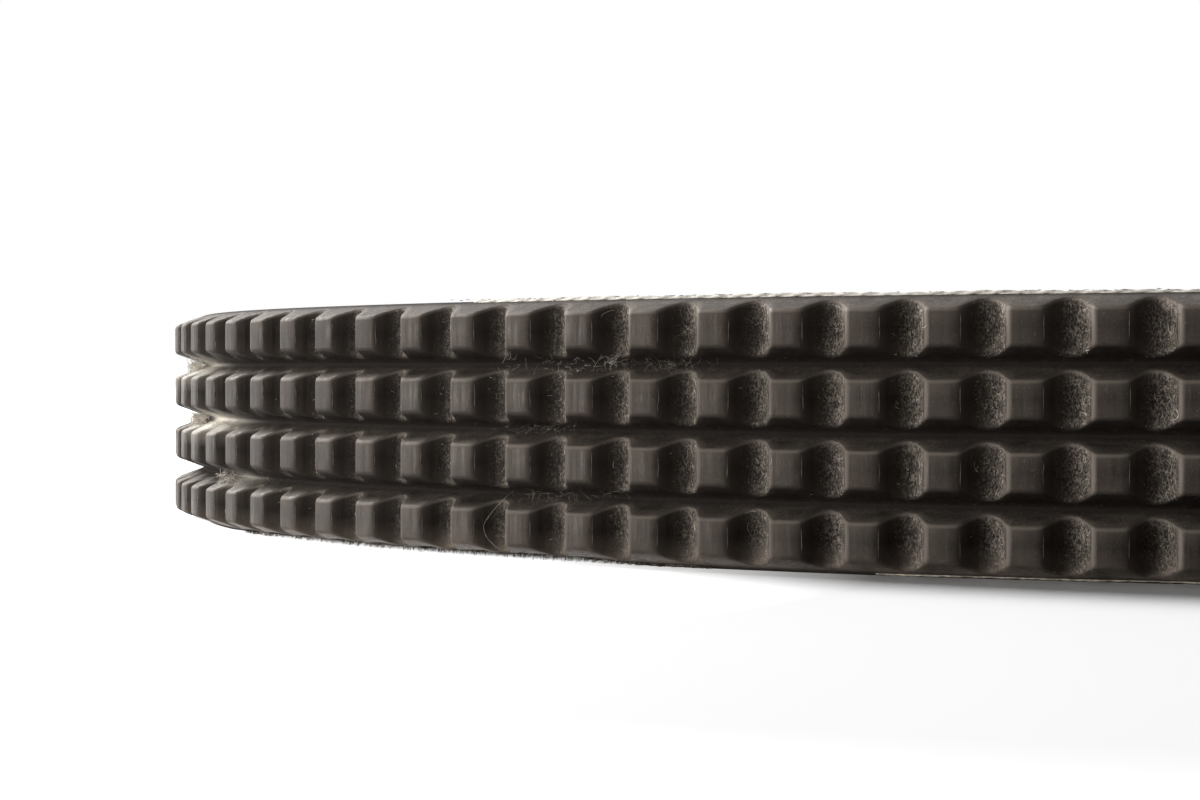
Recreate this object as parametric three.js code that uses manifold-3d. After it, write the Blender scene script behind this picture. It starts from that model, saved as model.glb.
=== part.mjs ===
// Endless V-ribbed drive belt with cross notches, shown turned rib side out and standing on its edge.
// Millimetres, +Z up. The origin is the middle of the loop, at the edge that the belt stands on.
//
// The belt is moulded and vulcanised in one piece, so it is one solid: a flat band that holds the
// tension cords, with V ribs all round its outside. Notches cross the ribs, which leaves cogs.
import * as THREE from "three";
import { mergeVertices } from "three/addons/utils/BufferGeometryUtils.js";
import Module from "manifold-3d";

// The loop
const BELT_LENGTH = 448; // round the loop, at the tension cords, whose length doesn't change
const OVAL_RATIO = 1.23; // long axis over short axis of the loop, as it stands slack

// The ribs
const RIB_COUNT = 4;
const RIB_PITCH = 3.56;
const RIB_ANGLE = 40; // degrees between the two flanks of a rib
const RIB_TIP_WIDTH = 1.9;
const GROOVE_ROOT_WIDTH = 0.2;

// The band under the ribs
const BAND_THICKNESS = 2.4; // from the groove roots to the smooth back
const CORD_DEPTH = 0.9; // from the groove roots to the middle of the tension cords

// The notches across the ribs
const COG_PITCH = 4.0; // at the tension cords
const NOTCH_WIDTH = 2.35; // across the mouth, at the rib tips
const NOTCH_FLOOR = 0.5; // from the groove roots up to the lowest point of a notch's curve
const NOTCH_FACETS = 3; // flat steps round the hollow of one notch
const CUTTER_MARGIN = 0.5; // how far a notch cutter stands clear of the belt

// How finely things are worked out
const LENGTH_STEPS = 40; // for each cog, to find even steps round the loop
const MERGE_DISTANCE = 1e-4; // corners closer than this are one

// What follows from those
const BELT_WIDTH = RIB_COUNT * RIB_PITCH;
const FLANK_RUN = (RIB_PITCH - RIB_TIP_WIDTH - GROOVE_ROOT_WIDTH) / 2;
const GROOVE_DEPTH = FLANK_RUN / Math.tan(THREE.MathUtils.degToRad(RIB_ANGLE / 2));
const ROOT_OFFSET = CORD_DEPTH; // outward from the cord line to the groove roots
const TIP_OFFSET = ROOT_OFFSET + GROOVE_DEPTH;
const BACK_OFFSET = ROOT_OFFSET - BAND_THICKNESS;
const NOTCH_DEPTH = GROOVE_DEPTH - NOTCH_FLOOR;
const COG_COUNT = Math.round(BELT_LENGTH / COG_PITCH);

const wasm = await Module();
wasm.setup();

// The oval that the tension cords follow. Ramanujan's formula gives the length of an oval of unit
// short half-axis, and the half-axes follow from the length of the belt.
function cordOval() {
  const unitLength =
    Math.PI * (3 * (OVAL_RATIO + 1) - Math.sqrt((3 * OVAL_RATIO + 1) * (OVAL_RATIO + 3)));
  const halfWidth = BELT_LENGTH / unitLength;
  const oval = new THREE.EllipseCurve(0, 0, halfWidth * OVAL_RATIO, halfWidth);
  oval.arcLengthDivisions = LENGTH_STEPS * COG_COUNT;
  return oval;
}

// The middle of each notch on the cord line, with the directions along the belt and outward there.
// The band bends at the notches and is straight under each cog, so offsets from the cord line are
// mitred: they stretch a little at the bends to keep each cog's faces flat.
function notchStations(oval) {
  const points = oval.getSpacedPoints(COG_COUNT).slice(0, -1);
  return points.map((middle, i) => {
    const before = points.at(i - 1);
    const after = points[(i + 1) % points.length];
    const arriving = middle.clone().sub(before).normalize();
    const leaving = after.clone().sub(middle).normalize();
    const along = arriving.clone().add(leaving).normalize();
    return {
      middle: new THREE.Vector3(middle.x, middle.y, 0),
      along: new THREE.Vector3(along.x, along.y, 0),
      outward: new THREE.Vector3(along.y, -along.x, 0),
      mitre: 1 / along.dot(leaving),
    };
  });
}

// The belt's section before the notches are cut: x is outward from the cord line and y is up the
// width of the belt. The belt is cut from a wide sleeve in the middle of a groove, so half a root
// is left on each edge.
function beltSection() {
  const outline = [new THREE.Vector2(BACK_OFFSET, 0), new THREE.Vector2(ROOT_OFFSET, 0)];
  for (let rib = 0; rib < RIB_COUNT; rib++) {
    const start = rib * RIB_PITCH + GROOVE_ROOT_WIDTH / 2;
    const end = start + RIB_PITCH - GROOVE_ROOT_WIDTH;
    outline.push(
      new THREE.Vector2(ROOT_OFFSET, start),
      new THREE.Vector2(TIP_OFFSET, start + FLANK_RUN),
      new THREE.Vector2(TIP_OFFSET, end - FLANK_RUN),
      new THREE.Vector2(ROOT_OFFSET, end),
    );
  }
  outline.push(new THREE.Vector2(ROOT_OFFSET, BELT_WIDTH), new THREE.Vector2(BACK_OFFSET, BELT_WIDTH));
  return outline;
}

// A section carried round a closed row of stations, with no seam and no end caps.
function sweepRound(section, stations) {
  const positions = [];
  for (const { middle, outward, mitre } of stations)
    for (const corner of section) {
      const place = middle.clone().addScaledVector(outward, corner.x * mitre);
      positions.push(place.x, place.y, corner.y);
    }
  const indices = [];
  stations.forEach((_, i) => {
    const here = i * section.length;
    const next = ((i + 1) % stations.length) * section.length;
    section.forEach((_, j) => {
      const k = (j + 1) % section.length;
      indices.push(here + j, next + j, here + k, here + k, next + j, next + k);
    });
  });
  const ring = new THREE.BufferGeometry();
  ring.setAttribute("position", new THREE.Float32BufferAttribute(positions, 3));
  ring.setIndex(indices);
  return ring;
}

// What one notch takes away: a hollow with a parabola for its section, across the whole belt. Its x
// is outward from the cord line, its y is along the belt and its z is up the width of the belt.
function notchCutter() {
  const half = NOTCH_WIDTH / 2;
  const top = TIP_OFFSET + CUTTER_MARGIN;
  const outline = new THREE.Shape();
  outline.moveTo(top, -half);
  outline.lineTo(top, half);
  outline.lineTo(TIP_OFFSET, half);
  outline.quadraticCurveTo(TIP_OFFSET - 2 * NOTCH_DEPTH, 0, TIP_OFFSET, -half);
  outline.closePath();
  const cutter = new THREE.ExtrudeGeometry(outline, {
    depth: BELT_WIDTH + 2 * CUTTER_MARGIN,
    curveSegments: NOTCH_FACETS,
    bevelEnabled: false,
  });
  return cutter.translate(0, 0, -CUTTER_MARGIN);
}

function solidFrom(geometry) {
  const bare = geometry.index ? geometry.toNonIndexed() : geometry.clone();
  bare.deleteAttribute("normal");
  bare.deleteAttribute("uv");
  const merged = mergeVertices(bare, MERGE_DISTANCE);
  return new wasm.Manifold(
    new wasm.Mesh({
      numProp: 3,
      vertProperties: merged.attributes.position.array,
      triVerts: new Uint32Array(merged.index.array),
    }),
  );
}

function geometryFrom(solid) {
  const { vertProperties, triVerts, numProp } = solid.getMesh();
  const positions = Array.from(triVerts).flatMap((v) =>
    Array.from(vertProperties.slice(v * numProp, v * numProp + 3)),
  );
  const geometry = new THREE.BufferGeometry();
  geometry.setAttribute("position", new THREE.Float32BufferAttribute(positions, 3));
  geometry.computeVertexNormals();
  return geometry;
}

// The ribbed band with its notches cut.
function beltGeometry() {
  const stations = notchStations(cordOval());
  const band = solidFrom(sweepRound(beltSection(), stations));
  const cutter = notchCutter();
  const up = new THREE.Vector3(0, 0, 1);
  const cutters = stations.map(({ middle, along, outward }) => {
    const place = new THREE.Matrix4().makeBasis(outward, along, up).setPosition(middle);
    return solidFrom(cutter.clone().applyMatrix4(place));
  });
  return geometryFrom(wasm.Manifold.difference([band, ...cutters]));
}

const rubber = new THREE.MeshStandardMaterial({ color: 0x3b3632, roughness: 0.72, metalness: 0 });

const belt = new THREE.Mesh(beltGeometry(), rubber);
belt.name = "drive_belt";

const part = new THREE.Group();
part.add(belt);

export default part;
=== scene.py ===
"""An endless notched V-ribbed drive belt, standing on its edge with its ribs turned outward.

Lengths are in millimetres, but in metres in the meshes and where a comment says so. Round the loop,
a place is its distance s along the tension cords from the +X end, counter-clockwise. In the belt's
section it is its offset, outward from the tension cords, and its height z above the floor. Colours
are linear red, green and blue.
"""

import math

import bpy
import numpy as np
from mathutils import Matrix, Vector


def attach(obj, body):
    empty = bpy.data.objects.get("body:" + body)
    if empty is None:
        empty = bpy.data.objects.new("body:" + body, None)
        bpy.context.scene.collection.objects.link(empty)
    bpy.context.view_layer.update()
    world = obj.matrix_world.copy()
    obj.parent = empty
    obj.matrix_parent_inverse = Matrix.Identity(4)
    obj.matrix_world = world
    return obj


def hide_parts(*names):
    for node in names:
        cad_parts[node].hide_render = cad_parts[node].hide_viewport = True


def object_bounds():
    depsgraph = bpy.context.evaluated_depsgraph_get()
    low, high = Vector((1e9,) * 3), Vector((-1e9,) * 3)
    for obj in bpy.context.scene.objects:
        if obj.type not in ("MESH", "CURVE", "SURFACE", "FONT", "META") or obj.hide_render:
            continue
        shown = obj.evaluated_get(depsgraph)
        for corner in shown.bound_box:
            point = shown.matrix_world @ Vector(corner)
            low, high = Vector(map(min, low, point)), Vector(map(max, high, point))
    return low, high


MM = 0.001

# The belt, as the frame's own solid has it
COG_COUNT = 112
RIB_COUNT = 4
RIB_PITCH = 3.56
RIB_TIP_WIDTH = 1.9
GROOVE_ROOT_WIDTH = 0.2
GROOVE_DEPTH = 2.006
ROOT_OFFSET = 0.9
TIP_OFFSET = ROOT_OFFSET + GROOVE_DEPTH
BACK_OFFSET = -1.5
BELT_WIDTH = RIB_COUNT * RIB_PITCH
FLANK_RUN = (RIB_PITCH - RIB_TIP_WIDTH - GROOVE_ROOT_WIDTH) / 2

# The notches, with the rounding that the moulded belt has. Before and after are the sides of a
# notch's middle as s grows.
HALF_COG = 2.0
NOTCH_HALF_BEFORE, NOTCH_HALF_AFTER = 1.05, 1.22
NOTCH_FLOOR = 0.6
BLEND_BEFORE, BLEND_AFTER = 0.32, 0.5
CROWN_REACH, CROWN_FALL = 1.0, 0.048  # a cog's top falls off from its middle, with the square
FACET_WIDTH, FACET_DROP = 0.5, 0.065
RIM_RADIUS = 0.20
FOOT_HEIGHT, FOOT_FLARE = 0.12, 0.02
FLANK_MID_LIFT = 0.1
COG_STATIONS = (-1.45, -1.12, -0.92, -0.76, -0.62, -0.5, 0.36, 0.62, 0.82, 0.93, 1.04, 1.22, 1.55, 2.0)

# The cut edges, from corner to corner: offset, height over the floor or depth under the top edge,
# and how much of a rim the corner is
LOW_EDGE = (
    (BACK_OFFSET, 0.14, 0.0),
    (BACK_OFFSET + 0.12, 0.0, 0.6),
    (-0.3, 0.0, 0.0),
    (ROOT_OFFSET - 0.12, 0.0, 0.4),
    (ROOT_OFFSET - 0.02, 0.06, 0.4),
)
TOP_EDGE = (
    (ROOT_OFFSET - 0.03, 0.2, 0.4),
    (ROOT_OFFSET - 0.14, 0.08, 0.4),
    (-0.3, 0.03, 0.0),
    (BACK_OFFSET + 0.12, 0.0, 0.6),
    (BACK_OFFSET, 0.14, 0.0),
    (BACK_OFFSET, BELT_WIDTH / 2, 0.0),
)
LOWEST_FLANK = 0.1
GROOVE_DIP = 0.08

# The stretch of the lower edge that is worn and frayed, and stands a little off the floor
FRAY_START, FRAY_END = 252.0, 293.0
FRAY_RUN_IN, FRAY_RUN_OUT = 12, 5
FRAY_LIFT = 0.26

# The tension cord laid bare along the top edge
TOP_CORD_Z = BELT_WIDTH - 0.07
CORD_LAY = 2.3  # along the cord for one turn of its strands
STEPS_A_TURN = 14

# Pale patches in the grooves, caught lint and dust with painted light: s, z, how far along, how far up,
# how much
LINT_AND_LIGHT_PATCHES = (
    (246.0, 10.45, 5.0, 0.75, 0.75),
    (248.5, 6.90, 4.0, 0.70, 1.00),
    (253.0, 6.90, 4.0, 0.55, 0.60),
    (255.5, 3.40, 3.0, 0.50, 0.45),
    (238.0, 8.90, 1.6, 1.00, 0.35),
    (240.0, 5.10, 1.8, 0.90, 0.20),
)

# Pale lines along a cog's near corner, wear with a painted highlight: how strong, how far past the notch,
# how wide
CORNER_WEAR_AND_HIGHLIGHTS = ((0.4, 0.06, 0.17), (0.6, 0.02, 0.08))

# Dirt in the notches: where it starts, before a notch's middle, how far it goes, and how much it
# crowds toward the end, with less being more
DIRT_START, DIRT_RUN, DIRT_CROWDING = -0.7, 1.85, 0.6

# How a short fibre bends, at fractions of its length: rise in lengths of the fibre
NOTCH_BOW = ((0, -0.12), (0.5, 0.12), (1, -0.02))
GROOVE_BOW = ((0, -0.1), (0.5, 0.15), (1, 0.0))

# Tufts of tangled lint: s, offset, z, spread along, spread up and number of fibres
GROOVE_TUFTS = (
    (294.5, 1.6, 10.60, 3.6, 0.45, 90),
    (286.5, 1.6, 7.10, 4.0, 0.45, 60),
    (287.5, 1.6, 3.55, 4.4, 0.45, 60),
    (255.0, 1.7, 7.00, 4.0, 0.25, 110),
    (250.0, 1.7, 10.60, 4.0, 0.25, 110),
    (259.0, 1.6, 3.50, 3.5, 0.20, 80),
)
PALE_TUFTS = (
    (286.0, 2.2, 10.80, 2.4, 0.70, 18),
    (289.0, 2.0, 10.60, 3.4, 0.50, 40),
    (291.6, 2.2, 10.85, 0.25, 0.25, 24),
)
LIMB_TUFTS = (
    (245.5, 1.75, 7.00, 2.6, 0.30, 330),
    (243.5, 1.65, 10.55, 2.6, 0.28, 210),
    (254.0, 1.65, 3.50, 2.6, 0.22, 90),
)
BRIDGE_TUFTS = ((241.5, 1.6, 7.10, 0.6, 0.6, 90),)

# The one long hair over the lowest rib: s, offset and z of places along it
HAIR_ROUTE = (
    (285.2, 2.0, 3.9),
    (285.0, 2.9, 3.3),
    (284.3, 3.0, 2.6),
    (283.7, 3.0, 1.9),
    (283.9, 3.0, 1.3),
    (284.6, 3.0, 0.75),
    (285.0, 2.4, 0.35),
)

# Colours of the rubber
WORN_DARK, WORN_PALE = (0.005, 0.004, 0.0033), (0.024, 0.0197, 0.0165)
MAUVE_FILM = (0.022, 0.0155, 0.014)
DUST_CLOUD = (0.042, 0.0348, 0.0286)
GROUND_DOT = (0.17, 0.143, 0.12)
# Painted shade inside the notches
NOTCH_PAINTED_SHADE = (0.011, 0.0088, 0.0075)
NOTCH_SPECK = (0.37, 0.32, 0.27)
# Wear with a painted highlight along a cog's near corner
CORNER_WEAR_AND_HIGHLIGHT = (0.14, 0.118, 0.10)
# Painted highlight on the rims, strongest where they face up
RIM_HIGHLIGHT = (0.18, 0.153, 0.13)
SETTLED_DUST = (0.13, 0.109, 0.09)
# Painted shade on faces that look down
UNDERSIDE_SHADE = (0.008, 0.0064, 0.0055)
# Paler brown along the lower edge: wear, with painted light bounced up from the floor
WORN_AND_BOUNCE_LIT_EDGE = (0.22, 0.18, 0.148)
# Painted shade deep in the grooves
GROOVE_PAINTED_SHADE = (0.010, 0.008, 0.007)
SMOOTH_BACK = (0.022, 0.0185, 0.0155)
# Pale patches in the grooves: lint and dust, with painted light
PALE_LINT_AND_LIGHT = (0.80, 0.75, 0.66)

# Fibres, cords and scraps of rubber: darkest colour, palest colour and roughness
FIBRES = {
    "grey_fibre": ((0.12, 0.105, 0.09), (0.66, 0.60, 0.52), 0.6),
    "dark_fibre": ((0.016, 0.0125, 0.010), (0.13, 0.11, 0.092), 0.7),
    "crumb_rubber": ((0.03, 0.024, 0.02), (0.44, 0.38, 0.32), 0.75),
    "lip_rubber": ((0.05, 0.042, 0.035), (0.26, 0.225, 0.19), 0.45),
    "cut_rubber": ((0.006, 0.005, 0.0045), (0.03, 0.024, 0.02), 0.7),
    "pale_cord": ((0.50, 0.46, 0.40), (0.80, 0.76, 0.69), 0.55),
    "brown_fibre": ((0.03, 0.023, 0.018), (0.20, 0.16, 0.125), 0.7),
    "pale_fibre": ((0.40, 0.35, 0.29), (0.75, 0.70, 0.62), 0.6),
    "beige_lint": ((0.16, 0.14, 0.11), (0.46, 0.41, 0.34), 0.8),
}

# The camera, worked out from the way the rows of cogs converge in the photograph
PHOTO_WIDTH = 1200
SENSOR_WIDTH = 36.0
FOCAL_PIXELS = 2563.6
HORIZON_PIXELS = 30.0
CAMERA_PLACE = (-27.57, -189.9, 10.36)
CAMERA_HEADING = 0.123
CLIP_START = 0.005  # in metres

# The light, with distances and sizes in metres: directions point from the belt
WORLD_BRIGHT_SIDE = (-0.30, 0.86, 0.30)
WORLD_FADE = (-0.25, 0.75)
WORLD_DIM, WORLD_BRIGHT = 0.02, 0.2
KEY_HEADING, KEY_ELEVATION = 148, 33
KEY_DISTANCE = 0.9
KEY_SIZE = (0.28, 0.28)
KEY_POWER = 14.5
STRIP_HEADING, STRIP_ELEVATION = 203, 3.2
STRIP_DISTANCE = 0.9
STRIP_SIZE = (0.7, 0.09)
STRIP_POWER = 8.3

# The floor, in metres. It is lit up to the first distance from the belt's middle, and white from
# the second. In the glare at the front left, outside the loop, it is white up to the first distance
# from the glare's middle.
FLOOR_REACH = 12.0
FLOOR_LIT_REACH, FLOOR_WHITE_REACH = 0.12, 0.20
FLOOR_COLOUR, FLOOR_BOUNCE_COLOUR = (0.93, 0.93, 0.93), (0.75, 0.73, 0.70)
GLARE_PLACE = (-0.085, -0.055, 0)
GLARE_REACH, GLARE_END = 0.036, 0.056
LOOP_REACH = (0.0813, 0.0667)
UNDER_BELT = (0.94, 0.97)  # where the floor outside the loop begins, in parts of its reach


class Loop:
    """The oval that the tension cords follow, found from the box of the frame's solid."""

    def __init__(self, high):
        self.long = high.x / MM - TIP_OFFSET
        self.short = high.y / MM - TIP_OFFSET
        steps = 200 * COG_COUNT
        turn = np.linspace(0, 2 * math.pi, steps + 1)
        x = self.long * np.cos(turn)
        y = self.short * np.sin(turn)
        self.turn = turn
        self.run = np.concatenate([[0], np.cumsum(np.hypot(np.diff(x), np.diff(y)))])
        self.length = self.run[-1]
        self.cog_pitch = self.length / COG_COUNT

    def place(self, s, offset, z):
        """Points in metres at distances s, offsets and heights, which broadcast together."""
        s, offset, z = np.broadcast_arrays(s, offset, z)
        turn = np.interp(np.mod(s, self.length), self.run, self.turn)
        middle = np.stack([self.long * np.cos(turn), self.short * np.sin(turn)], -1)
        along = np.stack([-self.long * np.sin(turn), self.short * np.cos(turn)], -1)
        along /= np.linalg.norm(along, axis=-1, keepdims=True)
        outward = np.stack([along[..., 1], -along[..., 0]], -1)
        flat = middle + outward * offset[..., None]
        return np.concatenate([flat, z[..., None]], -1) * MM

    def past_notch(self, s):
        """How far the places s lie past the middle of the nearest notch, or before it if negative."""
        return np.mod(s + self.cog_pitch / 2, self.cog_pitch) - self.cog_pitch / 2


def rib_height(past):
    """How high a rib stands above the groove roots, at a distance past the middle of a notch."""
    half = np.where(past < 0, NOTCH_HALF_BEFORE, NOTCH_HALF_AFTER)
    blend = np.where(past < 0, BLEND_BEFORE, BLEND_AFTER)
    from_middle = np.minimum(HALF_COG - np.abs(past), CROWN_REACH)
    full = GROOVE_DEPTH - CROWN_FALL * from_middle ** 2
    into_facet = np.clip((past + NOTCH_HALF_BEFORE + FACET_WIDTH) / FACET_WIDTH, 0, 1) * (past < 0)
    full = full - FACET_DROP * into_facet
    hollow = NOTCH_FLOOR + (full - NOTCH_FLOOR) * (past / half) ** 2
    gap = np.clip(0.5 + 0.5 * (hollow - full) / blend, 0, 1)
    return hollow + (full - hollow) * gap - blend * gap * (1 - gap)


def half_width(height):
    """Half the width of a rib at a height above the groove roots."""
    return (RIB_TIP_WIDTH / 2) + (GROOVE_DEPTH - height) * FLANK_RUN / GROOVE_DEPTH


def rib_side(top):
    """One side of a rib from its foot to the edge of its tip: (half width, height, rim) rows."""
    corner = half_width(top)
    lean = FLANK_RUN / GROOVE_DEPTH
    below = top - RIM_RADIUS
    mid_flank = 0.5 * below + FLANK_MID_LIFT
    turn_mid = 0.25 * below + 0.75 * top
    side_mid = 0.25 * (corner + lean * RIM_RADIUS) + 0.5 * corner + 0.25 * (corner - RIM_RADIUS)
    return [
        (half_width(FOOT_HEIGHT) + FOOT_FLARE, FOOT_HEIGHT / 2 + 0 * top, 0.0),
        (half_width(mid_flank), mid_flank, 0.0),
        (half_width(below), below, 0.3),
        (side_mid, turn_mid, 1.0),
        (corner - RIM_RADIUS, top, 0.3),
    ]


def worn_away(s):
    """How far up the lower edge has worn, which it has along one frayed stretch."""
    run_in = np.clip((s - FRAY_START) / FRAY_RUN_IN, 0, 1)
    run_out = np.clip((FRAY_END - s) / FRAY_RUN_OUT, 0, 1)
    ripple = 0.86 + 0.08 * np.sin(s * 2.9) + 0.06 * np.sin(s * 7.3 + 1)
    return FRAY_LIFT * (run_in * run_out) * ripple


def belt_section(top, worn):
    """The section's corners round the outline, each with offset, z and rim, for a rib height."""
    flat = 0 * top
    rows = [(offset + flat, up + worn, rim) for offset, up, rim in LOW_EDGE]
    side = rib_side(top)
    for rib in range(RIB_COUNT):
        centre = (rib + 0.5) * RIB_PITCH
        for width, height, rim in side:
            low = centre - width
            if rib == 0:
                low = np.maximum(low, LOWEST_FLANK + worn)
            rows.append((ROOT_OFFSET + height, low, rim))
        rows.append((ROOT_OFFSET + top, centre + flat, 0.0))
        for width, height, rim in reversed(side):
            rows.append((ROOT_OFFSET + height, centre + width, rim))
        if rib < RIB_COUNT - 1:
            rows.append((ROOT_OFFSET - GROOVE_DIP + flat, (rib + 1) * RIB_PITCH + flat, 0.0))
    rows += [(offset + flat, BELT_WIDTH - down + flat, rim) for offset, down, rim in TOP_EDGE]
    return rows


def mesh_object(name, points, faces, material, body="root"):
    """A mesh from arrays of points and of faces with equal numbers of corners, smooth shaded."""
    mesh = bpy.data.meshes.new(name)
    corners = faces.shape[1]
    mesh.vertices.add(len(points))
    mesh.vertices.foreach_set("co", np.asarray(points, np.float32).ravel())
    mesh.loops.add(faces.size)
    mesh.loops.foreach_set("vertex_index", faces.astype(np.int32).ravel())
    mesh.polygons.add(len(faces))
    mesh.polygons.foreach_set("loop_start", np.arange(0, faces.size, corners, dtype=np.int32))
    mesh.polygons.foreach_set("use_smooth", np.ones(len(faces), bool))
    mesh.update(calc_edges=True)
    mesh.validate()
    mesh.materials.append(material)
    piece = bpy.data.objects.new(name, mesh)
    bpy.context.scene.collection.objects.link(piece)
    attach(piece, body)
    return piece


def set_attribute(piece, name, values):
    layer = piece.data.attributes.new(name, "FLOAT", "POINT")
    layer.data.foreach_set("value", np.asarray(values, np.float32).ravel())


def grid_faces(rows, columns):
    """Quads over a grid that closes on itself both ways."""
    i, j = np.meshgrid(np.arange(rows), np.arange(columns), indexing="ij")
    i2, j2 = (i + 1) % rows, (j + 1) % columns
    quads = np.stack([i * columns + j, i2 * columns + j, i2 * columns + j2, i * columns + j2], -1)
    return quads.reshape(-1, 4)


def lint_and_light_amount(s, z):
    """How pale a few patches in the grooves are, from 0 to 1: caught lint and dust with painted light."""
    total = 0
    for place, height, run, rise, amount in LINT_AND_LIGHT_PATCHES:
        near = ((s - place) / run) ** 2 + ((z - height) / rise) ** 2
        total = total + amount * np.exp(-near * 1.5)
    return np.clip(total, 0, 1)


def corner_wear_and_highlight_lines(past):
    """How strong the pale line along a cog's near corner is, past the middle of a notch: wear with a
    painted highlight.
    """
    lines = 0
    for amount, start, width in CORNER_WEAR_AND_HIGHLIGHTS:
        lines = lines + amount * np.exp(-(((past - NOTCH_HALF_AFTER - start) / width) ** 2))
    return lines


def belt_attributes(s, offset, z, past, top, rim):
    """What the rubber's material reads at each corner of the belt's surface."""
    hollow = ((GROOVE_DEPTH - top) / (GROOVE_DEPTH - NOTCH_FLOOR))[:, None] * np.ones_like(z)
    on_top = np.abs(offset - ROOT_OFFSET - top[:, None]) < 0.1
    outer = np.clip((offset - ROOT_OFFSET + 0.1) / 0.2, 0, 1)
    return {
        "hollow": hollow * on_top,
        "height": np.clip((offset - ROOT_OFFSET) / GROOVE_DEPTH, -1, 1),
        "rim": rim,
        "corner_wear_and_highlight": corner_wear_and_highlight_lines(past)[:, None] * on_top,
        # the pale patches in the grooves: lint and dust, with painted light
        "lint": lint_and_light_amount(s[:, None], z) * (offset > ROOT_OFFSET - 0.2),
        # how far a place lies on the notch wall that faces the key light, where the pale specks are
        # painted
        "key_lit_wall": np.clip(past + 0.60, 0, 1)[:, None] * np.ones_like(z),
        "low_edge": np.clip(1.25 - z / 0.9, 0, 1) * outer,
    }


def make_belt(loop):
    """The belt's whole surface: one section at each station, joined round the loop."""
    cogs = np.arange(COG_COUNT)[:, None] + 0.5
    s = (cogs * loop.cog_pitch + np.array(COG_STATIONS)[None, :]).ravel()
    past = loop.past_notch(s)
    top = rib_height(past)
    rows = belt_section(top, worn_away(s))
    offset, z, rim = (np.stack([np.broadcast_to(row[k], top.shape) for row in rows], 1) for k in range(3))
    points = loop.place(s[:, None], offset, z).reshape(-1, 3)
    belt = mesh_object("belt_surface", points, grid_faces(len(s), len(rows)), rubber_material())
    for name, values in belt_attributes(s, offset, z, past, top, rim).items():
        set_attribute(belt, name, values)
    weighted = belt.modifiers.new("even_shading", "WEIGHTED_NORMAL")
    weighted.keep_sharp = False
    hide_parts("drive_belt")


def tube_mesh(name, paths, radius, material, sides=3):
    """Closed tubes that taper to a point at both ends, with radius in mm, as one piece of the belt.

    paths holds equal rows of points in metres.
    """
    count, steps, _ = paths.shape
    along = np.gradient(paths, axis=1)
    along /= np.linalg.norm(along, axis=2, keepdims=True) + 1e-12
    guide = np.array([0.31, 0.27, 0.91])
    across = np.cross(along, guide)
    across /= np.linalg.norm(across, axis=2, keepdims=True) + 1e-12
    upward = np.cross(along, across)
    angles = np.arange(sides) * 2 * math.pi / sides
    ring = (
        across[:, 1:-1, None, :] * np.cos(angles)[None, None, :, None]
        + upward[:, 1:-1, None, :] * np.sin(angles)[None, None, :, None]
    )
    radius = np.broadcast_to((np.asarray(radius, float) * MM).reshape(-1, 1, 1, 1), (count, 1, 1, 1))
    middle = (paths[:, 1:-1, None, :] + ring * radius).reshape(count, -1, 3)
    points = np.concatenate([paths[:, :1], middle, paths[:, -1:]], 1)
    rings = steps - 2
    faces = []
    for side in range(sides):
        after = (side + 1) % sides
        faces.append((0, 1 + after, 1 + side))
        for r in range(rings - 1):
            here, further = 1 + r * sides, 1 + (r + 1) * sides
            faces.append((here + side, here + after, further + after))
            faces.append((here + side, further + after, further + side))
        last = 1 + (rings - 1) * sides
        faces.append((last + side, last + after, 1 + rings * sides))
    faces = np.array(faces)
    every = (faces[None] + (np.arange(count) * points.shape[1])[:, None, None]).reshape(-1, 3)
    piece = mesh_object(name, points.reshape(-1, 3), every, material)


def wander(random, count, steps, roughness):
    """Smooth random paths that start at 0: count of them, with steps points of three values."""
    turn = np.cumsum(random.normal(0, roughness, (count, steps, 3)), axis=1)
    path = np.cumsum(turn, axis=1)
    return path - path[:, :1]


def random_directions(random, count, spread=1.0, lean=(0, 0, 0)):
    """Unit vectors at random, which lean the way given."""
    turn = random.normal(0, 1, (count, 3)) * spread + np.asarray(lean)[None, :]
    return turn / np.linalg.norm(turn, axis=1, keepdims=True)


def notch_places(loop, random, per_notch):
    """Random places (s, z) in the notches of every rib, crowded on the walls that face back."""
    count = COG_COUNT * RIB_COUNT * per_notch
    notch = np.repeat(np.arange(COG_COUNT), RIB_COUNT * per_notch)
    rib = np.tile(np.repeat(np.arange(RIB_COUNT), per_notch), COG_COUNT)
    past = DIRT_RUN * random.random(count) ** DIRT_CROWDING + DIRT_START
    z = (rib + 0.5) * RIB_PITCH + random.uniform(-1, 1, count) * half_width(rib_height(past))
    return notch * loop.cog_pitch + past, z


def make_notch_fibres(loop, name, per_notch, length, radius, material, seed):
    """The chopped fibres that stand out of the rubber in the notches, at all angles."""
    random = np.random.default_rng(seed)
    s, z = notch_places(loop, random, per_notch)
    count = len(s)
    size = length[0] + (length[1] - length[0]) * random.random(count) ** 3
    turn = random.uniform(0, 2 * math.pi, count)
    lift = random.random(count) ** 2 * 0.7
    rows = []
    for t, bow in NOTCH_BOW:
        here_s = s + size * np.sin(turn) * t
        here_z = z + size * np.cos(turn) * t
        rise = rib_height(loop.past_notch(here_s)) + size * (lift * t + bow)
        rows.append(loop.place(here_s, ROOT_OFFSET + rise, here_z))
    tube_mesh(name, np.stack(rows, 1), random.uniform(*radius, count), material)


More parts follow.
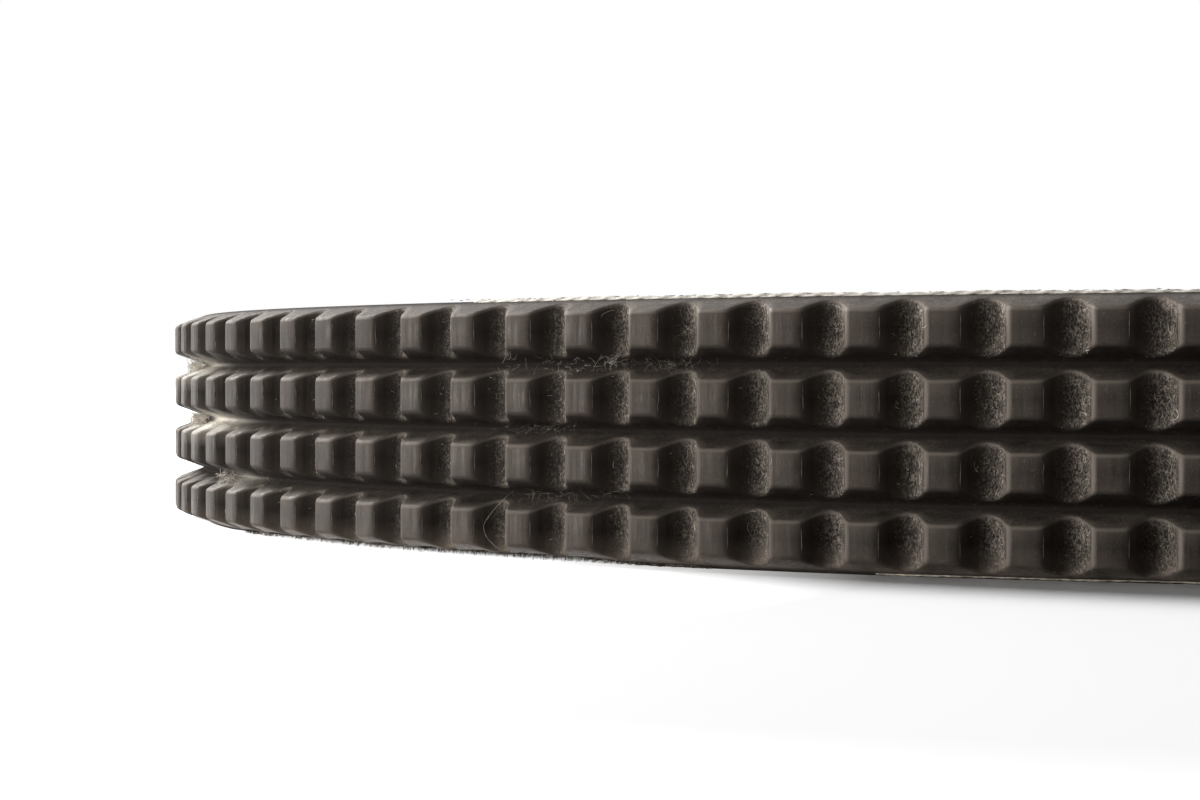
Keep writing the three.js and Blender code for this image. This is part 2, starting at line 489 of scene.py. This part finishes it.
def make_notch_crumbs(loop, name, per_notch, radius, material, seed):
    """Crumbs of ground rubber in the notches, each a small grain with eight faces."""
    random = np.random.default_rng(seed)
    s, z = notch_places(loop, random, per_notch)
    size = random.uniform(*radius, len(s))[:, None]
    grain = np.array([(1, 0, 0), (0, 1, 0), (-1, 0, 0), (0, -1, 0), (0, 0, 1), (0, 0, -1)], float)
    stretch = random.uniform(0.6, 1.6, (len(s), 1, 3))
    corners = grain[None] * stretch * size[..., None]
    rise = rib_height(loop.past_notch(s))[:, None] + corners[..., 2]
    points = loop.place(s[:, None] + corners[..., 0], ROOT_OFFSET + rise, z[:, None] + corners[..., 1])
    sides = [(i, (i + 1) % 4) for i in range(4)]
    faces = np.array([(a, b, 4) for a, b in sides] + [(b, a, 5) for a, b in sides])
    every = (faces[None] + (np.arange(len(s)) * len(grain))[:, None, None]).reshape(-1, 3)
    piece = mesh_object(name, points.reshape(-1, 3), every, material)


def make_groove_fuzz(loop, name, per_cog, length, radius, material, seed):
    """Short fibres and dust low on the flanks of the ribs, in the grooves between them."""
    random = np.random.default_rng(seed)
    count = COG_COUNT * (RIB_COUNT - 1) * per_cog
    s = random.uniform(0, loop.length, count)
    groove = random.integers(1, RIB_COUNT, count)
    height = random.random(count) ** 1.5 * 0.9
    side = random.choice([-1, 1], count)
    z = groove * RIB_PITCH + side * (RIB_PITCH / 2 - half_width(height))
    size = random.uniform(*length, count)
    turn = random_directions(random, count)
    rows = []
    for t, bow in GROOVE_BOW:
        rise = height + size * (bow + 0.5 * t * np.abs(turn[:, 0]))
        rows.append(loop.place(s + size * turn[:, 1] * t, ROOT_OFFSET + rise, z + size * turn[:, 2] * t))
    tube_mesh(name, np.stack(rows, 1), random.uniform(*radius, count), material)


def make_cog_lips(loop, name, at, radius, proud, material, seed):
    """The thin torn lip that the notch cutter left along one corner of each cog.

    at is how far past the middle of the notch it is, and proud is how far it stands off the cog.
    """
    random = np.random.default_rng(seed)
    notch = np.repeat(np.arange(COG_COUNT), RIB_COUNT)
    centre = (np.tile(np.arange(RIB_COUNT), COG_COUNT) + 0.5) * RIB_PITCH
    count = len(notch)
    steps = 5
    low = -1 + random.random(count) * 0.3
    high = 1 - random.random(count) * 0.3
    sway = random.normal(0, 0.008, (count, steps))
    shift = random.normal(0, 0.015, count)
    rows = []
    for step, t in enumerate(np.linspace(0, 1, steps)):
        past = at + shift + sway[:, step]
        top = rib_height(past)
        z = centre + (low + (high - low) * t) * (half_width(top) - 0.12)
        rows.append(loop.place(notch * loop.cog_pitch + past, ROOT_OFFSET + top + proud, z))
    tube_mesh(name, np.stack(rows, 1), radius, material)


def make_stray_hairs(loop, name, count, radius, material, seed):
    """Fine hairs that lie curled in the notches."""
    random = np.random.default_rng(seed)
    steps = 9
    notch = random.integers(0, COG_COUNT, (count, 1))
    s = notch * loop.cog_pitch + random.uniform(-0.3, 1.1, (count, 1))
    rib = random.integers(0, RIB_COUNT, (count, 1))
    centre = (rib + 0.5) * RIB_PITCH
    z = centre + random.uniform(-1, 1, (count, 1))
    bend = random.uniform(0.08, 0.38, (count, 1))
    sweep = random.uniform(0.5, 3.0, (count, 1)) * np.linspace(0, 1, steps)
    begin = random.uniform(0, 2 * math.pi, (count, 1))
    path = wander(random, count, steps, 0.008)
    here_s = s + bend * np.cos(begin + sweep) + path[..., 0]
    here_z = z + bend * np.sin(begin + sweep) + path[..., 1]
    top = rib_height(loop.past_notch(here_s))
    lean = (np.abs(here_z - centre) - half_width(top)) * GROOVE_DEPTH / FLANK_RUN
    height = np.clip(np.where(lean > 0, top - lean, top), 0.1, None) + 0.02
    points = loop.place(here_s, ROOT_OFFSET + height, np.clip(here_z, 0.05, BELT_WIDTH - 0.05))
    tube_mesh(name, points, random.uniform(*radius, count), material)


def make_edge_cord(loop, name, s_range, offset, z, strand, twist, material):
    """A tension cord laid bare along a cut edge: two thin strands twisted round each other.

    strand is the radius of each, and twist is how far its middle lies from the cord's.
    """
    start, end = s_range
    turns = (end - start) / CORD_LAY
    t = np.linspace(0, 1, int(turns * STEPS_A_TURN))
    random = np.random.default_rng(5)
    bends = 60
    sway = np.interp(t, np.linspace(0, 1, bends), random.normal(0, 0.02, bends))
    paths = []
    for start_angle in (0, math.pi):
        angle = t * turns * 2 * math.pi + start_angle
        across = offset + twist * np.cos(angle)
        height = z + sway + twist * np.sin(angle)
        paths.append(loop.place(start + t * (end - start), across, height))
    tube_mesh(name, np.stack(paths), strand, material, sides=6)


def make_frays(loop, name, count, s_range, offset, z, length, lean, radius, material, seed):
    """Short fibres that stand off an edge. lean is which way, on average: outward, along and up."""
    random = np.random.default_rng(seed)
    s = random.uniform(*s_range, count)
    size = random.uniform(*length, count)
    turn = random_directions(random, count, 0.55, lean)
    curl = random.normal(0, 0.35, (count, 3))
    rows = []
    for t in np.linspace(0, 1, 5):
        step = (turn * t + curl * t * t) * size[:, None]
        height = np.maximum(z + worn_away(s) + step[:, 2], 0.012)
        rows.append(loop.place(s + step[:, 1], offset + step[:, 0], height))
    tube_mesh(name, np.stack(rows, 1), radius, material)


def make_lint(loop, name, tufts, material, seed, radius=(0.003, 0.006)):
    """Tangled lint in tufts: fibres bent into arcs, tilted and strewn at random."""
    random = np.random.default_rng(seed)
    steps = 9
    rows = []
    for s, offset, z, run, rise, count in tufts:
        bend = 0.05 + 0.5 * random.random((count, 1)) ** 2
        sweep = random.uniform(0.3, 2.6, (count, 1)) * np.linspace(0, 1, steps)
        begin = random.uniform(0, 2 * math.pi, (count, 1))
        tilt = random.normal(0, 0.9, (count, 1))
        path = wander(random, count, steps, 0.016)
        place = random.normal(0, 0.42, (count, 1, 3))
        along = bend * np.cos(begin + sweep) + path[..., 0] + place[..., 0] * run
        upward = bend * np.sin(begin + sweep) + path[..., 1]
        out = np.clip(upward * tilt + path[..., 2] + place[..., 1] * 0.25, -0.5, 0.5)
        height = z + (upward - bend * np.sin(begin) + place[..., 2] * rise)
        rows.append(loop.place(s + along, offset + out, np.maximum(height, 0.02)))
    paths = np.concatenate(rows)
    tube_mesh(name, paths, random.uniform(*radius, len(paths)), material)


def make_flecks(loop, name, count, s_range, offsets, heights, length, radius, material, seed):
    """Short dark scraps of rubber that stick along a bare cord."""
    random = np.random.default_rng(seed)
    s = random.uniform(*s_range, count)
    offset = random.uniform(*offsets, count)
    z = random.choice(heights, count) + random.normal(0, 0.012, count)
    size = random.uniform(*length, count)
    rows = []
    for t in (0, 0.35, 0.7, 1):
        rows.append(loop.place(s + size * t, offset, z + random.normal(0, 0.008, count)))
    tube_mesh(name, np.stack(rows, 1), random.uniform(*radius, count), material)


def make_hair(loop, name, route, radius, material):
    """One long fibre lying over the cogs, through points of (s, offset, z)."""
    route = np.array(route)
    t = np.linspace(0, len(route) - 1, 40)
    smooth = np.stack([np.interp(t, np.arange(len(route)), route[:, k]) for k in range(3)], 1)
    window = 5
    padded = np.pad(smooth, ((window // 2, window // 2), (0, 0)), mode="edge")
    kernel = np.ones(window) / window
    smooth = np.stack([np.convolve(padded[:, k], kernel, "valid") for k in range(3)], 1)
    tube_mesh(name, loop.place(*smooth.T)[None], radius, material, sides=4)


def add_node(tree, kind, **values):
    node = tree.nodes.new(kind)
    for name, value in values.items():
        if name in node.inputs:
            node.inputs[name].default_value = value
        else:
            setattr(node, name, value)
    return node


class Builder:
    """Short calls for the nodes of one material."""

    def __init__(self, name, roughness=None, specular=None):
        self.material = bpy.data.materials.new(name)
        self.material.use_nodes = True
        self.tree = self.material.node_tree
        self.shader = self.tree.nodes["Principled BSDF"]
        if roughness is not None:
            self.shader.inputs["Roughness"].default_value = roughness
        if specular is not None:
            self.shader.inputs["Specular IOR Level"].default_value = specular

    def link(self, source, target):
        self.tree.links.new(source, target)

    def attribute(self, name):
        return add_node(self.tree, "ShaderNodeAttribute", attribute_name=name).outputs["Fac"]

    def noise(self, scale, detail=3.0, roughness=0.6, stretch=(1, 1, 1)):
        place = add_node(self.tree, "ShaderNodeTexCoord")
        mapping = add_node(self.tree, "ShaderNodeMapping")
        mapping.inputs["Scale"].default_value = stretch
        self.link(place.outputs["Object"], mapping.inputs["Vector"])
        node = add_node(self.tree, "ShaderNodeTexNoise", Scale=scale, Detail=detail, Roughness=roughness)
        self.link(mapping.outputs["Vector"], node.inputs["Vector"])
        return node.outputs["Fac"]

    def normal_z(self):
        facing = add_node(self.tree, "ShaderNodeNewGeometry")
        split = add_node(self.tree, "ShaderNodeSeparateXYZ")
        self.link(facing.outputs["Normal"], split.inputs[0])
        return split.outputs["Z"]

    def vector(self, operation, source, other=None):
        node = add_node(self.tree, "ShaderNodeVectorMath", operation=operation)
        self.link(source, node.inputs[0])
        if other is not None:
            node.inputs[1].default_value = other
        return node

    def ramp(self, source, low, high, to_low=0.0, to_high=1.0):
        node = add_node(self.tree, "ShaderNodeMapRange")
        node.inputs["From Min"].default_value = low
        node.inputs["From Max"].default_value = high
        node.inputs["To Min"].default_value = to_low
        node.inputs["To Max"].default_value = to_high
        self.link(source, node.inputs["Value"])
        return node.outputs["Result"]

    def math(self, operation, a, b):
        node = add_node(self.tree, "ShaderNodeMath", operation=operation)
        for socket, value in zip(node.inputs, (a, b)):
            if isinstance(value, (int, float)):
                socket.default_value = value
            else:
                self.link(value, socket)
        return node.outputs[0]

    def mix(self, factor, a, b):
        node = add_node(self.tree, "ShaderNodeMix", data_type="RGBA")
        colours = [socket for socket in node.inputs if socket.type == "RGBA"]
        for socket, value in zip(colours, (a, b)):
            if isinstance(value, tuple):
                socket.default_value = (*value, 1)
            else:
                self.link(value, socket)
        self.link(factor, node.inputs["Factor"])
        return next(socket for socket in node.outputs if socket.type == "RGBA")

    def bump(self, height, strength, distance, normal=None):
        node = add_node(self.tree, "ShaderNodeBump", Strength=strength, Distance=distance)
        self.link(height, node.inputs["Height"])
        if normal is not None:
            self.link(normal, node.inputs["Normal"])
        return node.outputs["Normal"]


def rubber_colour(b, speck, dust, upright, normal_z):
    """The rubber's colour: streaked tips, specks in the notches, dust, worn edges and lint, with painted
    shade in the notches, in the grooves and on faces that look down, painted highlights on the cogs' near
    corners and on upper rims, and painted light in the notch specks' one-sidedness, in part of the lint
    patches and along the worn lower edge.
    """
    hollow, height, corner_wear_and_highlight = b.attribute("hollow"), b.attribute("height"), b.attribute("corner_wear_and_highlight")
    clump = b.noise(1700.0, 3.0, 0.6)
    cloud = b.noise(900.0, 3.0, 0.5)

    worn = b.mix(b.ramp(upright, 0.32, 0.68), WORN_DARK, WORN_PALE)
    mauve = b.mix(b.ramp(cloud, 0.45, 0.65, 0.0, 0.6), worn, MAUVE_FILM)
    cloudy = b.mix(b.ramp(dust, 0.50, 0.72, 0.0, 0.6), mauve, DUST_CLOUD)
    dotted = b.mix(b.ramp(speck, 0.58, 0.74, 0.0, 0.55), cloudy, GROUND_DOT)

    inside = b.ramp(hollow, 0.05, 0.35)
    # painted shade: the notches are darker the deeper they go
    shaded = b.mix(inside, dotted, NOTCH_PAINTED_SHADE)
    # the pale specks show only on the notch walls that face the key light: real specks, with painted
    # light in their one-sidedness
    lit_notch_wall = b.math("MULTIPLY", inside, b.attribute("key_lit_wall"))
    gathered = b.math("MULTIPLY", b.ramp(clump, 0.38, 0.60, 0.35, 1.0), lit_notch_wall)
    specks = b.math("MULTIPLY", b.ramp(speck, 0.45, 0.64), gathered)
    fuzzy = b.mix(specks, shaded, NOTCH_SPECK)

    # a pale line along each cog's near corner: wear with a painted highlight
    corner_highlighted = b.mix(b.math("MULTIPLY", corner_wear_and_highlight, 0.85), fuzzy, CORNER_WEAR_AND_HIGHLIGHT)
    # painted highlight on the rims, paler on those that face up
    lit_rim = b.math("MULTIPLY", b.attribute("rim"), b.ramp(normal_z, -0.2, 0.4, 0.10, 0.7))
    edges = b.mix(lit_rim, corner_highlighted, RIM_HIGHLIGHT)
    mottled = b.math("MULTIPLY", b.ramp(dust, 0.3, 0.6, 0.1, 0.6), b.ramp(speck, 0.40, 0.60, 0.15, 1.75))
    dusted = b.mix(b.math("MULTIPLY", b.ramp(normal_z, 0.25, 0.9), mottled), edges, SETTLED_DUST)
    # painted shade on faces that look down
    under = b.mix(b.ramp(normal_z, -0.7, -0.2, 0.75, 0.0), dusted, UNDERSIDE_SHADE)
    # paler brown along the lower edge: wear, with painted light bounced up from the floor
    low_edge = b.ramp(b.attribute("low_edge"), 0.0, 1.0)
    low_wear_and_bounce = b.math("MULTIPLY", low_edge, b.ramp(dust, 0.35, 0.6, 0.3, 0.9))
    browned = b.mix(low_wear_and_bounce, under, WORN_AND_BOUNCE_LIT_EDGE)

    # painted shade: darker toward the groove roots, and as dark on the cut edges inward of them
    deep = b.mix(b.ramp(height, 0.0, 0.3, 0.85, 0.0), browned, GROOVE_PAINTED_SHADE)
    backed = b.mix(b.ramp(height, -0.95, -0.75, 1.0, 0.0), deep, SMOOTH_BACK)
    # pale patches in the grooves: lint and dust, with painted light
    patch = b.math("MULTIPLY", b.attribute("lint"), b.ramp(speck, 0.30, 0.55, 0.55, 1.0))
    return b.mix(patch, backed, PALE_LINT_AND_LIGHT)


def rubber_roughness(b, upright):
    """Smoother on the tips, in streaks, and rougher in the notches, on rims and in the grooves."""
    level = b.noise(9000.0, 2.0, 0.5, (0.04, 0.04, 1))
    grazed = b.math("ADD", b.ramp(upright, 0.35, 0.65, -0.10, 0.18), b.ramp(level, 0.6, 0.8, 0.0, 0.1))
    soft_rim = b.math("MULTIPLY", b.attribute("rim"), 0.3)
    by_hollow = b.ramp(b.attribute("hollow"), 0.08, 0.5, 0.40, 0.8)
    foot = b.ramp(b.attribute("height"), 0.05, 0.5, 0.9, 0.0)
    return b.math("MAXIMUM", b.math("ADD", by_hollow, b.math("ADD", grazed, soft_rim)), foot)


def rubber_material():
    b = Builder("ground_rubber", specular=0.16)
    b.shader.inputs["Specular Tint"].default_value = (1.0, 0.86, 0.76, 1)
    speck = b.noise(9500.0, 4.0, 0.8, (1, 1, 0.7))
    grain = b.noise(16000.0, 2.0, 0.5)
    dust = b.noise(420.0, 4.0, 0.62)
    upright = b.noise(3600.0, 3.0, 0.6, (1, 1, 0.05))
    b.link(rubber_colour(b, speck, dust, upright, b.normal_z()), b.shader.inputs["Base Color"])
    b.link(rubber_roughness(b, upright), b.shader.inputs["Roughness"])

    fine = b.bump(grain, 0.25, 0.00002)
    streaky = b.bump(upright, 0.6, 0.00003, fine)
    rough = b.math("MULTIPLY", speck, b.ramp(b.attribute("hollow"), 0.1, 0.45, 0.28, 1.0))
    b.link(b.bump(rough, 0.6, 0.00008, streaky), b.shader.inputs["Normal"])
    return b.material


def fibre_material(name, dark, pale, roughness):
    b = Builder(name, roughness, specular=0.3)
    shade = b.noise(2400.0, 2.0, 0.6)
    b.link(b.mix(b.ramp(shade, 0.35, 0.65), dark, pale), b.shader.inputs["Base Color"])
    return b.material


def make_camera():
    data = bpy.data.cameras.new("camera")
    data.sensor_width = SENSOR_WIDTH
    data.lens = FOCAL_PIXELS / PHOTO_WIDTH * SENSOR_WIDTH
    data.clip_start = CLIP_START
    camera = bpy.data.objects.new("camera", data)
    camera.location = Vector(CAMERA_PLACE) * MM
    tilt = math.atan(HORIZON_PIXELS / FOCAL_PIXELS)
    camera.rotation_euler = (math.pi / 2 - tilt, 0, CAMERA_HEADING)
    bpy.context.scene.collection.objects.link(camera)
    bpy.context.scene.camera = camera


def area_light(name, heading, elevation, distance, size, power):
    """A lamp that faces the belt's middle. Its heading and elevation are in degrees, from there."""
    data = bpy.data.lights.new(name, "AREA")
    data.shape = "RECTANGLE"
    data.size, data.size_y = size
    data.energy = power
    light = bpy.data.objects.new(name, data)
    turn, rise = math.radians(heading), math.radians(elevation)
    toward = Vector((math.cos(turn) * math.cos(rise), math.sin(turn) * math.cos(rise), math.sin(rise)))
    light.location = toward * distance
    light.rotation_euler = (-toward).to_track_quat("-Z", "Y").to_euler()
    bpy.context.scene.collection.objects.link(light)


def seen_rays(tree):
    """1 on rays from the camera, and on those that gloss and glass send on, and 0 on the rest."""
    rays = add_node(tree, "ShaderNodeLightPath")
    socket = rays.outputs["Is Camera Ray"]
    for name in ("Is Glossy Ray", "Is Transmission Ray"):
        either = add_node(tree, "ShaderNodeMath", operation="MAXIMUM")
        tree.links.new(socket, either.inputs[0])
        tree.links.new(rays.outputs[name], either.inputs[1])
        socket = either.outputs[0]
    return socket


def white_by_itself(b):
    """How much of the floor's white is its own: all far from the belt and in the glare."""
    place = add_node(b.tree, "ShaderNodeTexCoord").outputs["Object"]
    away = b.vector("LENGTH", place).outputs["Value"]
    from_glare = b.vector("DISTANCE", place, GLARE_PLACE).outputs["Value"]
    glaring = b.ramp(from_glare, GLARE_REACH, GLARE_END, 1.0, 0.0)
    scaled = b.vector("MULTIPLY", place, (1 / LOOP_REACH[0], 1 / LOOP_REACH[1], 1)).outputs["Vector"]
    outside = b.ramp(b.vector("LENGTH", scaled).outputs["Value"], *UNDER_BELT)
    far = b.ramp(away, FLOOR_LIT_REACH, FLOOR_WHITE_REACH)
    return b.math("MAXIMUM", far, b.math("MULTIPLY", glaring, outside))


def make_floor():
    """White, with the belt's shadow near it, and white by itself further off."""
    mesh = bpy.data.meshes.new("floor")
    corners = [(x * FLOOR_REACH, y * FLOOR_REACH, 0) for x, y in ((-1, -1), (1, -1), (1, 1), (-1, 1))]
    mesh.from_pydata(corners, [], [(0, 1, 2, 3)])
    floor = bpy.data.objects.new("floor", mesh)
    bpy.context.scene.collection.objects.link(floor)
    b = Builder("white_floor", roughness=0.6, specular=0.2)
    mesh.materials.append(b.material)
    seen = seen_rays(b.tree)
    b.link(b.mix(seen, FLOOR_BOUNCE_COLOUR, FLOOR_COLOUR), b.shader.inputs["Base Color"])
    b.shader.inputs["Emission Color"].default_value = (1, 1, 1, 1)
    b.link(b.math("MULTIPLY", seen, white_by_itself(b)), b.shader.inputs["Emission Strength"])


def make_world():
    """Bright behind the belt and to its left, dim on the side that the photograph is taken from."""
    world = bpy.data.worlds.new("surroundings")
    bpy.context.scene.world = world
    world.use_nodes = True
    tree = world.node_tree
    background = tree.nodes["Background"]
    background.inputs["Color"].default_value = (1, 1, 1, 1)
    place = add_node(tree, "ShaderNodeTexCoord")
    toward = add_node(tree, "ShaderNodeVectorMath", operation="DOT_PRODUCT")
    toward.inputs[1].default_value = WORLD_BRIGHT_SIDE
    tree.links.new(place.outputs["Generated"], toward.inputs[0])
    fade = add_node(tree, "ShaderNodeMapRange", interpolation_type="SMOOTHSTEP")
    fade.inputs["From Min"].default_value = WORLD_FADE[0]
    fade.inputs["From Max"].default_value = WORLD_FADE[1]
    fade.inputs["To Min"].default_value = WORLD_DIM
    fade.inputs["To Max"].default_value = WORLD_BRIGHT
    tree.links.new(toward.outputs["Value"], fade.inputs["Value"])
    strength = add_node(tree, "ShaderNodeMath", operation="MAXIMUM")
    tree.links.new(seen_rays(tree), strength.inputs[0])
    tree.links.new(fade.outputs["Result"], strength.inputs[1])
    tree.links.new(strength.outputs[0], background.inputs["Strength"])


def dirty_notches(loop, look):
    """Fibres, crumbs and hairs in the notches and grooves, and the lips along the cogs' corners."""
    make_notch_fibres(loop, "notch_fibres", 56, (0.05, 0.26), (0.007, 0.015), look["grey_fibre"], 11)
    make_notch_fibres(loop, "notch_fuzz", 40, (0.05, 0.20), (0.008, 0.013), look["dark_fibre"], 12)
    make_notch_crumbs(loop, "notch_crumbs", 48, (0.010, 0.032), look["crumb_rubber"], 13)
    make_stray_hairs(loop, "stray_hairs", 2200, (0.008, 0.013), look["pale_fibre"], 20)
    make_groove_fuzz(loop, "groove_fuzz", 36, (0.05, 0.22), (0.007, 0.012), look["dark_fibre"], 14)
    make_cog_lips(loop, "cog_lips", 1.05, 0.018, 0.004, look["lip_rubber"], 15)
    make_cog_lips(loop, "far_cog_lips", -1.06, 0.020, 0.010, look["lip_rubber"], 19)
    make_cog_lips(loop, "cog_cuts", 1.12, 0.020, -0.008, look["cut_rubber"], 16)


def lay_cords_bare(loop, look):
    """The tension cord along each cut edge, with scraps of rubber left on it."""
    top_sides = (TOP_CORD_Z - 0.12, TOP_CORD_Z + 0.105)
    make_edge_cord(loop, "top_edge_cord", (281, 420), 0.83, TOP_CORD_Z, 0.08, 0.055, look["pale_cord"])
    make_edge_cord(loop, "bottom_edge_cord", (306, 396), 0.93, 0.10, 0.045, 0.018, look["beige_lint"])
    make_flecks(
        loop, "top_cord_flecks", 420, (279, 420), (0.88, 0.98), top_sides,
        (0.10, 0.40), (0.012, 0.022), look["cut_rubber"], 17,
    )
    make_flecks(
        loop, "bottom_cord_flecks", 200, (303, 398), (0.90, 1.0), (0.05, 0.24),
        (0.10, 0.40), (0.010, 0.020), look["brown_fibre"], 18,
    )


def fray_edges(loop, look):
    """Short fibres along both cut edges, where the photograph has them."""
    make_frays(
        loop, "top_fray", 1100, (298, 420), 0.85, TOP_CORD_Z,
        (0.05, 0.16), (0.2, 0.5, 0.1), 0.007, look["pale_fibre"], 21,
    )
    make_frays(
        loop, "top_fuzz", 900, (300, 420), 1.0, BELT_WIDTH - 0.3,
        (0.06, 0.22), (0.3, 0.4, 0.0), 0.010, look["beige_lint"], 24,
    )
    make_frays(
        loop, "bottom_fray", 2400, (256, 297), 0.92, 0.13,
        (0.10, 0.42), (0.5, 0.1, -0.8), 0.014, look["brown_fibre"], 22,
    )
    make_frays(
        loop, "pale_bottom_fray", 420, (264, 296), 0.95, 0.14,
        (0.06, 0.34), (0.6, 0.1, -0.8), 0.012, look["pale_fibre"], 23,
    )


def catch_lint(loop, look):
    """The tangles of lint in the grooves, and the one long hair."""
    make_lint(loop, "groove_lint", GROOVE_TUFTS, look["beige_lint"], 31)
    make_lint(loop, "pale_lint", PALE_TUFTS, look["pale_fibre"], 33)
    make_lint(loop, "limb_lint", LIMB_TUFTS, look["pale_fibre"], 34, (0.012, 0.024))
    make_lint(loop, "limb_bridge", BRIDGE_TUFTS, look["brown_fibre"], 32)
    make_hair(loop, "loose_hair", HAIR_ROUTE, 0.008, look["beige_lint"])


def make_surroundings():
    """The floor, the world and the two lamps."""
    make_floor()
    make_world()
    area_light("key_light", KEY_HEADING, KEY_ELEVATION, KEY_DISTANCE, KEY_SIZE, KEY_POWER)
    area_light("low_strip", STRIP_HEADING, STRIP_ELEVATION, STRIP_DISTANCE, STRIP_SIZE, STRIP_POWER)


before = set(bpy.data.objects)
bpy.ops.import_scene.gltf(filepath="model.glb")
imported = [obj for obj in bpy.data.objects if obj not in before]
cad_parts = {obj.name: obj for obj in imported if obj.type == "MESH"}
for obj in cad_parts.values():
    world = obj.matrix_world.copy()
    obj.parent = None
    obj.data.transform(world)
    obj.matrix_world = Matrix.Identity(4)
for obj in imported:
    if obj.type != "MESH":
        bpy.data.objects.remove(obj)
cad_low, cad_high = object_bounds()
bpy.context.scene.view_settings.view_transform = "Standard"
belt_loop = Loop(cad_high)
make_camera()
make_belt(belt_loop)
fibre_looks = {name: fibre_material(name, *shades) for name, shades in FIBRES.items()}
dirty_notches(belt_loop, fibre_looks)
lay_cords_bare(belt_loop, fibre_looks)
fray_edges(belt_loop, fibre_looks)
catch_lint(belt_loop, fibre_looks)
make_surroundings()
